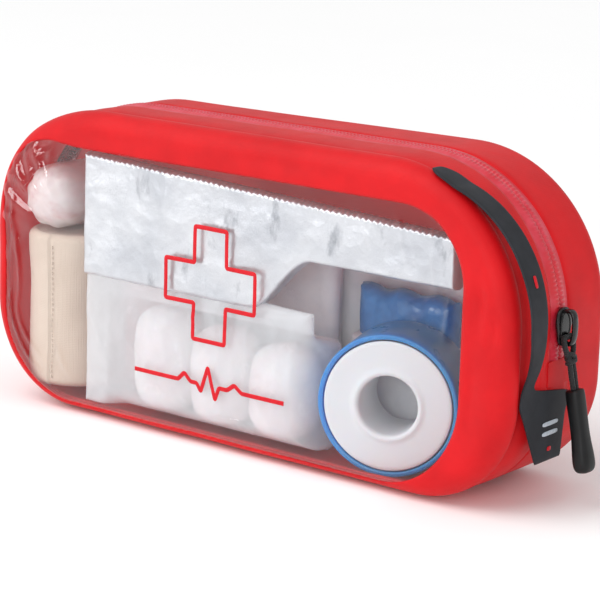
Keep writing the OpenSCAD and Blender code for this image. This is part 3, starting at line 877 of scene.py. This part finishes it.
EYE = Vector((126.401, 0, 60.569))
LEAN = radians(12)
DOWN = Vector((sin(LEAN), 0, -cos(LEAN)))
OUT = Vector((cos(LEAN), 0, sin(LEAN)))
REAR = Vector((0, 1, 0))
CORD_R = 1.0
EYE_HALF, SPREAD_AT, KNOT_AT, GRIP_AT = 2.8, 4.6, 7.4, 18.5


def pull_cord():
    half = [(0, 0), (EYE_HALF * 0.75, -0.15), (EYE_HALF, 0.9), (EYE_HALF, SPREAD_AT * 0.6),
            (EYE_HALF * 0.85, SPREAD_AT), (1.15, KNOT_AT), (1.0, KNOT_AT + 3), (1.1, 13.5),
            (0.95, 16), (1.0, GRIP_AT + 0.5)]
    line = [(-y, s) for y, s in half[:0:-1]] + half
    obj = tube("pull_cord_loop", curve_through([EYE + DOWN * s + REAR * y for y, s in line], 6),
               lambda t: CORD_R + 0.05 * sin(t * 260), CORD, sides=12)
    settle(obj, "puller", "black_cord", "pull_cord")
    center = EYE + DOWN * KNOT_AT
    for k, (tilt, shift) in enumerate(((0.5, -0.9), (-0.5, 0.3), (0.25, 1.4))):
        loop = []
        for a in np.linspace(0, 2 * pi, 24, endpoint=False):
            flat = REAR * (1.75 * cos(a)) + OUT * (1.35 * sin(a))
            loop.append(center + flat + DOWN * (shift + tilt * 1.75 * cos(a + k)))
        knot = tube(f"pull_knot_{k + 1}", loop, 0.85, CORD, sides=10, closed=True)
        settle(knot, "puller", "black_cord")


GRIP = [(0.0, 2.5, 2.3), (0.25, 3.15, 2.8), (0.9, 3.4, 3.05), (4, 3.45, 3.1), (10, 3.3, 3.0),
        (15, 3.3, 2.95), (19, 3.6, 3.05), (23, 4.15, 3.3), (26, 4.4, 3.4), (28, 4.2, 3.2),
        (29.3, 3.4, 2.6), (29.9, 2.0, 1.5)]  # (along, half width, half thickness)


def pull_grip():
    loops = []
    for s, across, thick in GRIP:
        loops.append([tuple(EYE + DOWN * (GRIP_AT + s) + REAR * v + OUT * w)
                      for v, w in oval(across, thick, 2.8, 28)])
    obj = loft("pull_grip_rubber", loops, RUBBER)
    mod = obj.modifiers.new("smooth", "SUBSURF")
    mod.levels = mod.render_levels = 2
    settle(obj, "puller", "black_rubber", "pull_grip")


# ---- carry strap ----

STRAP_LIFT, STRAP_T = 0.3, 1.2
PAD_END, ARCH_TOP = 72, 60  # angles round the corner where the pad ends and the arch starts
STRAP_GAP = 6
TAG_TOP, TAG_BOTTOM = 46, 16
STRAP_MIDDLE = 24.25  # distance of the strap's middle from the bag's


def arch_circle():
    """Middle and radius of the strap's arch, as in part.scad."""
    angle = radians(ARCH_TOP)
    reach = CORNER_TOP + STRAP_LIFT
    a = np.array([TOP_CX + reach * cos(angle), TOP_CZ + reach * sin(angle)])
    b = np.array([HALF_L + STRAP_LIFT, TAG_TOP])
    chord = a - b
    half = np.linalg.norm(chord) / 2
    out = np.array([chord[1], -chord[0]]) / (2 * half)
    middle = (a + b) / 2
    rise = CORNER_TOP - np.linalg.norm(np.array([TOP_CX, TOP_CZ]) - middle) + STRAP_GAP
    radius = (half ** 2 + rise ** 2) / (2 * rise)
    return middle + (rise - radius) * out, radius, a, b


ARCH_CENTER, ARCH_R, ARCH_A, ARCH_B = arch_circle()


def strap_line():
    """The strap's inner face in the front view, from its point to the tag's lower end."""
    found = []
    for a in np.arange(PAD_END, ARCH_TOP, -1.0):
        c, s = cos(radians(a)), sin(radians(a))
        found.append((TOP_CX + (CORNER_TOP + STRAP_LIFT) * c, TOP_CZ + (CORNER_TOP + STRAP_LIFT) * s))
    start, end = (degrees(atan2(*(p - ARCH_CENTER)[::-1])) for p in (ARCH_A, ARCH_B))
    for a in np.arange(start, end + 1, -1.3):
        found.append(tuple(ARCH_CENTER + ARCH_R * np.array([cos(radians(a)),
                                                            sin(radians(a))])))
    found += [(HALF_L + STRAP_LIFT, z) for z in np.arange(TAG_TOP - 0.5, TAG_BOTTOM - 0.1, -1.0)]
    line = np.array(found)
    for _ in range(3):
        line[1:-1] = (line[:-2] + 2 * line[1:-1] + line[2:]) / 4
    return line


# (height or distance from the point, nearest and farthest edge from the middle of the bag)
STRAP_POINT = [(0, 23.0, 26.6), (1.2, 21.8, 28.2), (3.5, 20.3, 29.2), (6, 19.3, 29.5), (10, 19, 29.5)]
STRAP_TAG = [(76, 19, 29.5), (66, 19, 28.4), (56, 18.4, 26), (50, 18, 24.4), (47.2, 18, 24),
             (45, 17.4, 24.2), (43.5, 15.5, 24.7), (40.2, -7.2, 25.3), (39, -7.8, 25.4), (33, -4.4, 22),
             (16, -2.5, 13.6)]


def strap():
    line = strap_line()
    step = np.hypot(*np.diff(line, axis=0).T)
    along = np.concatenate([[0], np.cumsum(step)])
    total = along[-1]
    low_half = slice(np.argmax(line[:, 0]), None)
    keys = np.array(STRAP_POINT + [
        (float(np.interp(-z, -line[low_half, 1], along[low_half])) if z < 76 else total * 0.42, near, far)
        for z, near, far in STRAP_TAG], float)
    loops = []
    for s in np.arange(0, total, 0.75).tolist() + [total]:
        (x, z), before, after = ([np.interp(s + by, along, line[:, k]) for k in (0, 1)]
                                 for by in (0, -0.6, 0.6))
        ahead = after[0] - before[0], after[1] - before[1]
        size = hypot(*ahead)
        out = (-ahead[1] / size, ahead[0] / size)
        near, far = (np.mean([np.interp(s + k, keys[:, 0], edge) for k in (-1, -0.5, 0, 0.5, 1)])
                     for edge in keys.T[1:])
        middle, half = (near + far) / 2, (far - near) / 2
        shrink = min(1, 0.35 + s / 1.5, 0.35 + (total - s) / 1.5)
        loop = []
        for v, w in oval(half, STRAP_T / 2 * shrink, 7, 32):
            lift = STRAP_T / 2 + w
            loop.append((x + out[0] * lift, -(middle + v), z + out[1] * lift))
        loops.append(loop)
    settle(loft("strap_and_tag", loops, STRAP), "bag", "strap_rubber", "carry_strap")


def bar(name, center, half_along, half_across, along, across, up, material):
    """A small raised rounded mark."""
    loops = []
    for lift, grow in ((0, 1), (0.16, 1), (0.24, 0.9)):
        loops.append([tuple(Vector(center) + Vector(along) * a * grow + Vector(across) * b * grow
                            + Vector(up) * lift) for a, b in oval(half_along, half_across, 4, 24)])
    return loft(name, loops, material)


def marks():
    face = HALF_L + STRAP_LIFT + STRAP_T
    for k, z in enumerate((30.3, 26.8)):
        obj = bar(f"tag_bar_{k + 1}", (face, -5.75, z), 5, 0.8, (0, 1, 0), (0, 0, 1), (1, 0, 0), MARK)
        settle(obj, "bag", "mark_grey", *(["strap_marks"] if k == 0 else []))
    obj = bar("tag_dash", (face, -5.75, 21), 1.2, 0.8, (0, 1, 0), (0, 0, 1), (1, 0, 0), PRINT)
    settle(obj, "bag", "red_print")
    angle = radians(20)
    c, s = cos(angle), sin(angle)
    r = ARCH_R + STRAP_T
    obj = bar("strap_dash", (ARCH_CENTER[0] + r * c, -STRAP_MIDDLE, ARCH_CENTER[1] + r * s), 2.2, 0.8,
              (-s, 0, c), (0, 1, 0), (c, 0, s), PRINT)
    settle(obj, "bag", "red_print")


# ---- tape spool ----

SPOOL_FRONT = Vector((66, -21.972, 28))
SPOOL_AXIS = Vector((0.325568, -0.945519, 0))  # towards the front
SPOOL_SIDE = Vector((0.945519, 0.325568, 0))
UP = Vector((0, 0, 1))


def lathe(name, profile, material, steps=96):
    """A closed profile of (radius, depth behind the front) turned about the spool's axis."""
    points = []
    for k in range(steps):
        angle = 2 * pi * k / steps
        arm = SPOOL_SIDE * cos(angle) + UP * sin(angle)
        points += [tuple(SPOOL_FRONT + arm * r - SPOOL_AXIS * d) for r, d in profile]
    return make(name, points, grid_faces(steps, len(profile), True, True), material)


def spool():
    cover = [(24.7, 0.25), (24.9, 0.05), (25.3, 0), (25.9, 0.0), (26.3, 0.15), (26.5, 0.6), (26.5, 6),
             (26.5, 12), (26.5, 24), (26.3, 24.7), (25.7, 25), (20, 25), (14.6, 25), (14.4, 24.8),
             (14.6, 24.6), (20, 24.6), (24.2, 24.6), (24.5, 24.2), (24.6, 12), (24.65, 1.2)]
    settle(lathe("spool_cover_blue", cover, BLUE), "bag", "blue_plastic", "spool_cover")
    body = [(24.15, 0.7), (24.05, 0.3), (23.7, 0.1), (22.5, 0.15), (19, 0.4), (15, 0.45), (13.7, 0.35),
            (13.1, 0.05), (12.6, -0.05), (12.1, 0.02), (11.6, 0.3), (11.2, 0.9), (11.05, 1.8), (11, 4),
            (11, 12), (11, 23.3), (11.3, 23.9), (12.0, 24.0), (12.4, 23.6), (12.4, 22.6), (22.9, 22.5),
            (23.1, 22.2), (22.9, 21.9), (12.6, 21.8), (12.4, 21.4), (12.4, 2), (12.7, 1.6), (23.6, 1.5),
            (24.0, 1.3)]
    settle(lathe("spool_white", body, WHITE), "spool", "white_plastic", "tape_spool")
    turns = [(r, 1.75 + 0.08 * (k % 2)) for k, r in enumerate(np.arange(12.8, 21, 0.45))]
    wound = [(12.5, 1.7)] + turns + [(21.1, 2.2), (21.15, 12), (21.1, 21.2), (20.6, 21.5),
                                     (12.8, 21.5), (12.5, 21.3)]
    settle(lathe("spool_tape_wound", wound, TAPE), "spool", "tape_cloth", "tape_winding")


# ---- soft contents ----

def inside_bag(x, z, margin):
    """The nearest place with some room inside the bag's outline."""
    for _ in range(3):
        short = margin - inset(x, z)
        if short <= 0:
            break
        e = 0.5
        gx = (inset(x + e, z) - inset(x - e, z)) / (2 * e)
        gz = (inset(x, z + e) - inset(x, z - e)) / (2 * e)
        x, z = x + gx * short, z + gz * short
    return x, z


def roll_body(name, x, y, low, high, radius, material, shape, sides=72, rows=48, edge=3.0, ends=9,
              margin=2.0):
    """An upright roll with rounded edges and wound ends. shape(angle, height share) adds
    to its radius."""
    loops = []
    rings = [(radius * (k + 0.4) / ends * (1 - edge / radius), low, k) for k in range(ends)]
    for k in range(8):
        a = pi / 2 * k / 7
        rings.append((radius - edge + edge * sin(a), low + edge * (1 - cos(a)), None))
    for k in range(1, rows):
        rings.append((radius, low + edge + (high - low - 2 * edge) * k / rows, None))
    for k in range(8):
        a = pi / 2 * k / 7
        rings.append((radius - edge + edge * cos(a), high - edge + edge * sin(a), None))
    for k in reversed(range(ends)):
        rings.append((radius * (k + 0.4) / ends * (1 - edge / radius), high, k))
    for r, z, ring in rings:
        loop = []
        for k in range(sides):
            angle = 2 * pi * k / sides
            share = (z - low) / (high - low)
            more = shape(angle, share) * smooth(r / radius * 1.4 - 0.3)
            px, py = x + (r + more) * cos(angle), y + (r + more) * sin(angle)
            pz = z
            if ring is not None:
                dip = 0.5 * cos(pi * (ring + angle / pi)) + 0.4 * wave(px, py, 0, 7, 3)
                pz += (dip - 0.5) * (1 if share > 0.5 else -1)
            px, pz = inside_bag(px, pz, margin)
            loop.append((px, py, pz))
        loops.append(loop)
    return loft(name, loops, material)


BANDAGE_X, BANDAGE_Y = -97, -9.6
SEAM = radians(275)  # where the bandage's last turn ends


def round_wave(r, angle, along, size, seed):
    """The noise on a round bundle of radius r."""
    return wave(r * cos(angle), r * sin(angle), along, size, seed)


def bandage():
    def shape(angle, share):
        turn = ((angle - SEAM) % (2 * pi)) / (2 * pi)
        wrap = -0.9 + 0.9 * turn
        waist = -0.5 * sin(pi * share)
        return wrap + waist + 0.5 * round_wave(20, angle, 62 * share, 16, 6)
    obj = roll_body("bandage_roll", BANDAGE_X, BANDAGE_Y, 6.4, 68, 20, BANDAGE, shape, sides=240, rows=50)
    settle(obj, "bag", "bandage_cloth", "elastic_bandage")
    # stitches beside the end of the last turn
    points, faces = [], []
    for k in range(26):
        z = 10 + k * 2.1
        lean = SEAM + 0.09 + 0.03 * wave(0, 0, z, 9, 1)
        r = 19.6 - 0.5 * sin(pi * (z - 6.4) / 61.6)
        ends = [(BANDAGE_X + r * cos(lean), BANDAGE_Y + r * sin(lean), z + dz) for dz in (0, 1.2)]
        p, f = tube_mesh([ends[0], ((ends[0][0] + ends[1][0]) / 2, ends[0][1] - 0.25, z + 0.6), ends[1]],
                         0.25, sides=6)
        faces += [tuple(i + len(points) for i in face) for face in f]
        points += p
    settle(make("bandage_stitches", points, faces, BANDAGE), "bag", "bandage_cloth")


def capsule(name, a, b, radius, material, swell, rows=40, sides=56):
    """A rounded bundle between two points. swell(share, angle) adds to its radius."""
    a, b = Vector(a), Vector(b)
    axis = (b - a).normalized()
    side = axis.orthogonal().normalized()
    other = axis.cross(side)
    length = (b - a).length + 2 * radius
    loops = []
    for k in range(rows + 1):
        t = 0.004 + 0.992 * k / rows
        t = 0.5 - 0.5 * cos(pi * t)
        s = t * length
        end = min(s, length - s)
        r = radius if end > radius else radius * (1 - (1 - end / radius) ** 2.6) ** (1 / 2.6)
        center = a - axis * radius + axis * s
        loop = []
        for j in range(sides):
            angle = 2 * pi * j / sides
            rr = r * (1 + swell(t, angle))
            loop.append(tuple(center + side * (rr * cos(angle)) + other * (rr * sin(angle))))
        loops.append(loop)
    return loft(name, loops, material)


def gauze():
    x, y, r = -43, -15.9, 14.1
    for k, (name, height) in enumerate((("left", 41), ("middle", 38), ("right", 36))):
        def swell(t, angle):
            folds = 0.045 * round_wave(14, angle, 40 * t, 8, 2 + k)
            return folds + 0.05 * round_wave(14, angle, 40 * t, 22, 5 + k) - 0.03
        ends = [(x + 29 * k, y, 4.9 + up) for up in (r, height - r)]
        obj = capsule(f"gauze_roll_{name}_soft", *ends, r, GAUZE, swell)
        settle(obj, "bag", "white_gauze", f"gauze_roll_{name}")

    def soft(t, angle):
        return 0.05 * round_wave(13, angle, 50 * t, 10, 8) - 0.05
    obj = capsule("wrapped_gauze_soft", (-99.5, -17.2, 82), (-100.5, 10.4, 82), 12.1, GAUZE, soft)
    settle(obj, "bag", "white_gauze", "wrapped_gauze")

    def crinkle(t, angle):
        pleat = 0.045 * sin(angle * 9 + 3 * wave(10, 0, 50 * t, 9, 4)) * smooth((0.35 - t) / 0.3)
        return pleat + 0.03 * round_wave(13, angle, 50 * t, 6, 1) + 0.01
    obj = capsule("gauze_wrapper", (-99.5, -17.0, 82), (-100.5, 10.2, 82), 12.7, WRAPPER, crinkle)
    settle(obj, "bag", "pouch_film")


def packet(name, x0, x1, z0, z1, front, back, material, rows=60, cols=110, rim=6.0):
    """A flat packet, closed round its edges. z0 and z1 are numbers or functions of x; front
    and back are functions of (x, z)."""
    z0, z1 = level(z0), level(z1)

    def sheet(of, other):
        found = []
        for i in range(rows):
            for j in range(cols):
                x = x0 + (x1 - x0) * j / (cols - 1)
                low, high = z0(x), z1(x)
                z = low + (high - low) * i / (rows - 1)
                near = min(x - x0, x1 - x, z - low, high - z)
                full = sqrt(1 - (1 - min(max(near, 0) / rim, 1)) ** 2)
                middle = (of(x, z) + other(x, z)) / 2
                found.append((x, middle + (of(x, z) - middle) * full, z))
        return found
    points = sheet(front, back) + sheet(back, front)
    faces = grid_faces(rows, cols)
    faces += [tuple(i + rows * cols for i in f)[::-1] for f in grid_faces(rows, cols)]
    low = z0(x0)
    middle = (x0 + x1) / 2, (front(x0, low) + back(x0, low)) / 2, (low + z1(x0)) / 2
    obj = make(name, points, faces, material, middle)
    bm = bmesh.new()
    bm.from_mesh(obj.data)
    bmesh.ops.remove_doubles(bm, verts=bm.verts, dist=0.02 * MM)
    bmesh.ops.recalc_face_normals(bm, faces=bm.faces)
    bm.to_mesh(obj.data)
    bm.free()
    return obj


def level(value):
    """A number as a function of x; a function as it is."""
    return value if callable(value) else lambda x: value


def side_of(y, bumps, size, seed):
    """A packet's crumpled side at y, a number or a function of x, with bumps to the rear."""
    return lambda x, z: level(y)(x) + bumps * crumple(x, z, size, seed)


def crumple(x, z, size, seed):
    """Sharp-edged dents between 0 and 1."""
    total = 0
    for k, share in ((1, 0.6), (2.3, 0.28), (5, 0.12)):
        total += share * (1 - abs(wave(x, 0, z, size / k, seed + k)) * 2.2)
    return total


def flat_packets():
    def foil_top(x):
        top = 104.3 - (x + 76) / 172 * 8
        return top - 0.6 * abs(((x + 76) / 1.3) % 2 - 1)  # pinked edge
    def foil_low(x):
        return 55.5 + 21.5 * smooth((x - 6) / 30)
    obj = packet("foil_packet", -76, 98, foil_low, foil_top, side_of(-29.9, -1.0, 38, 2),
                 side_of(-23.4, 0.5, 30, 5), FOIL, rows=90, cols=400, rim=1.6)
    settle(obj, "bag", "silver_foil", "foil_blanket")
    obj = packet("pouch_film_bag", -76, 36, 4.2, lambda x: 60 - 2.0 * smooth((x + 20) / 50),
                 lambda x, z: -30.7 + 1.6 * (1 - crumple(x, z, 34, 9)) * smooth(z / 12),
                 lambda x, z: -24.0 + 21.5 * smooth((50 - z) / 8) * smooth((x + 68) / 12)
                 - 0.8 * crumple(x, z, 24, 4), POUCH, rows=70, cols=120, rim=9)
    settle(obj, "bag", "pouch_film", "gauze_pouch")
    obj = packet("glove_stack", 28, 72, 1.8, lambda x: 63 - 1.5 * sin(x / 5) ** 2,
                 side_of(8.4, -1.4, 22, 3), side_of(17.8, 1.2, 22, 6), GLOVE)
    settle(obj, "bag", "glove_rubber", "nitrile_gloves")
    obj = packet("glove_paper_band", 27.4, 72.6, 4, 44, side_of(6.2, -0.3, 30, 2),
                 side_of(19.2, 0.3, 30, 7), PAPER, rim=2)
    settle(obj, "bag", "pack_paper")

    def sheet_y(x):
        return 16.6 + 3.6 * smooth((x - 19) / 8)
    # a paper sheet behind the gloves, which passes in front of the free space at the back
    obj = packet("paper_sheet", -8, 101, lambda x: 3 + 12 * smooth((x - 84) / 16), 82,
                 side_of(sheet_y, -0.3, 34, 2), side_of(lambda x: sheet_y(x) + 0.6, 0, 34, 2),
                 PAPER, rim=0.8)
    settle(obj, "bag", "pack_paper")
    obj = packet("dressing_packet", -58, 22, 1.8, 87.2, side_of(2.2, -0.8, 30, 1),
                 side_of(10, 0.7, 30, 8), PAPER)
    settle(obj, "bag", "pack_paper", "dressing_pack")
    obj = packet("plaster_packet", -54, 18, 1.8, 75.2, side_of(12.3, -0.5, 30, 3),
                 side_of(15.8, 0.4, 30, 8), PAPER)
    settle(obj, "bag", "pack_paper", "plaster_pack")


front_frame()
sides()
rear()
window()
prints()
make_zip()
slider()
pull_cord()
pull_grip()
strap()
marks()
spool()
bandage()
gauze()
flat_packets()

# the patches under the zip's ends keep their CAD shape
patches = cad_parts["zip_end_patches"]
patches.data.materials.clear()
patches.data.materials.append(FABRIC)

# ---- floor and light ----

FLOOR_HALF, FLOOR_Z = 3.0, -0.0012
LIT_POINT = Vector((0, 0, 0.06))
LIGHTS = [  # (name, kind, place, size, power)
    ("overhead", "SUN", (-0.35, -0.55, 1.0), radians(50), 1.3),
    ("key", "AREA", (-0.35, -0.8, 1.1), 0.8, 0.7),
    ("right", "AREA", (1.1, -0.25, 0.6), 0.6, 0.7),
    ("beside_camera", "AREA", (0.42, -0.85, 0.3), 0.4, 1.7),
    ("low_left", "AREA", (-0.85, -1.15, 0.3), 0.3, 2.0),
    ("strip_left", "AREA", (-1.0, -0.95, 0.75), 0.25, 1.6),
]


def studio():
    paint = Paint("pale floor", (0.95, 0.95, 0.95, 1), 0.9)
    paint.tint(400, (0.96, 0.96, 0.96, 1))
    mesh = bpy.data.meshes.new("floor")
    corners = [(x * FLOOR_HALF, y * FLOOR_HALF, FLOOR_Z) for x, y in ((-1, -1), (1, -1), (1, 1), (-1, 1))]
    mesh.from_pydata(corners, [], [(0, 1, 2, 3)])
    mesh.materials.append(paint.material)
    add("floor", mesh)
    world = bpy.data.worlds.new("studio")
    world.use_nodes = True
    sky = world.node_tree.nodes["Background"]
    sky.inputs["Color"].default_value = (1, 1, 1, 1)
    sky.inputs["Strength"].default_value = 0.68
    bpy.context.scene.world = world
    bpy.context.scene.view_settings.view_transform = "Standard"
    for name, kind, place, size, power in LIGHTS:
        light = bpy.data.lights.new(name, kind)
        light.energy = power
        setattr(light, "angle" if kind == "SUN" else "size", size)
        obj = add(name, light)
        obj.location = place
        towards = LIT_POINT - obj.location
        obj.rotation_euler = towards.to_track_quat("-Z", "Y").to_euler()


studio()
